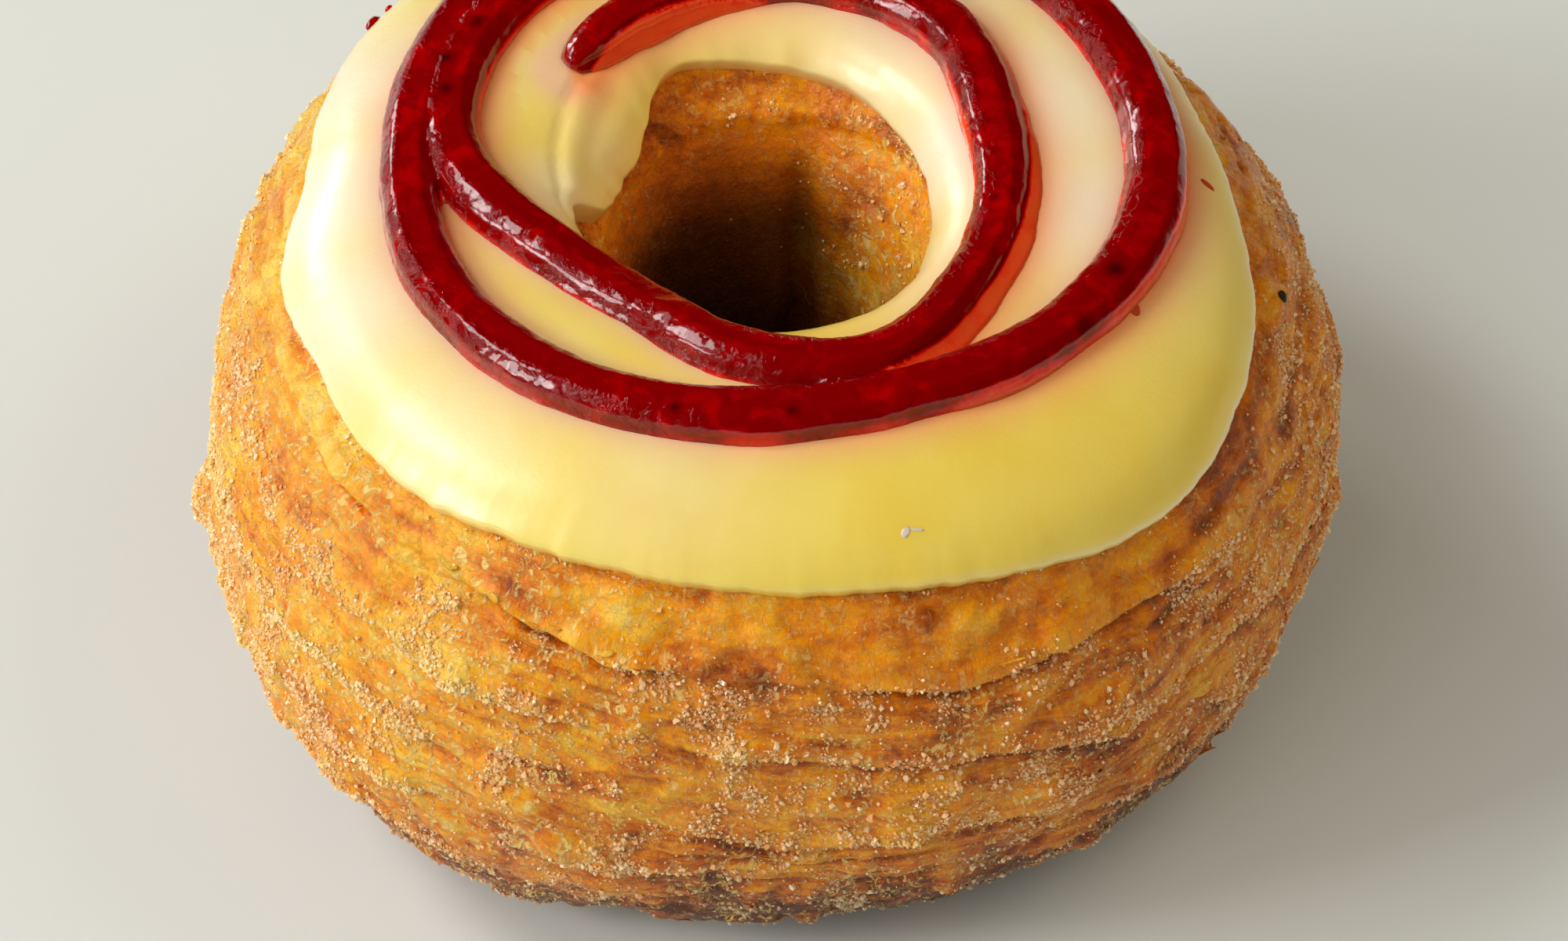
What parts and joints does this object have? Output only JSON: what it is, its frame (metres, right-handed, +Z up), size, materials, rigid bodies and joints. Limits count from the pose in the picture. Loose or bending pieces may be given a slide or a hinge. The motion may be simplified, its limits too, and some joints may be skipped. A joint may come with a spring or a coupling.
{
  "type": "croissant doughnut",
  "caption": "Ring of layered, sugared pastry with a hole through it, a coat of icing over its crown and a piped swirl of jam on the icing.",
  "frame": {"origin": "middle of the bottom of the part's box, on the surface that the pastry rests on", "axes": "+Z up along the hole, +X to the right and -Y towards the viewer in the picture's view"},
  "size_m": [0.0894, 0.0882, 0.0486],
  "materials": {
    "crust": "fried laminated dough, golden brown, rolled in sugar",
    "icing": "smooth set custard-yellow icing, glossy",
    "jam": "clear deep red jam gel, wet gloss"
  },
  "bodies": {
    "root": {"pastry": "crust", "icing": "icing", "jam_swirl": "jam"}
  },
  "joints": []
}
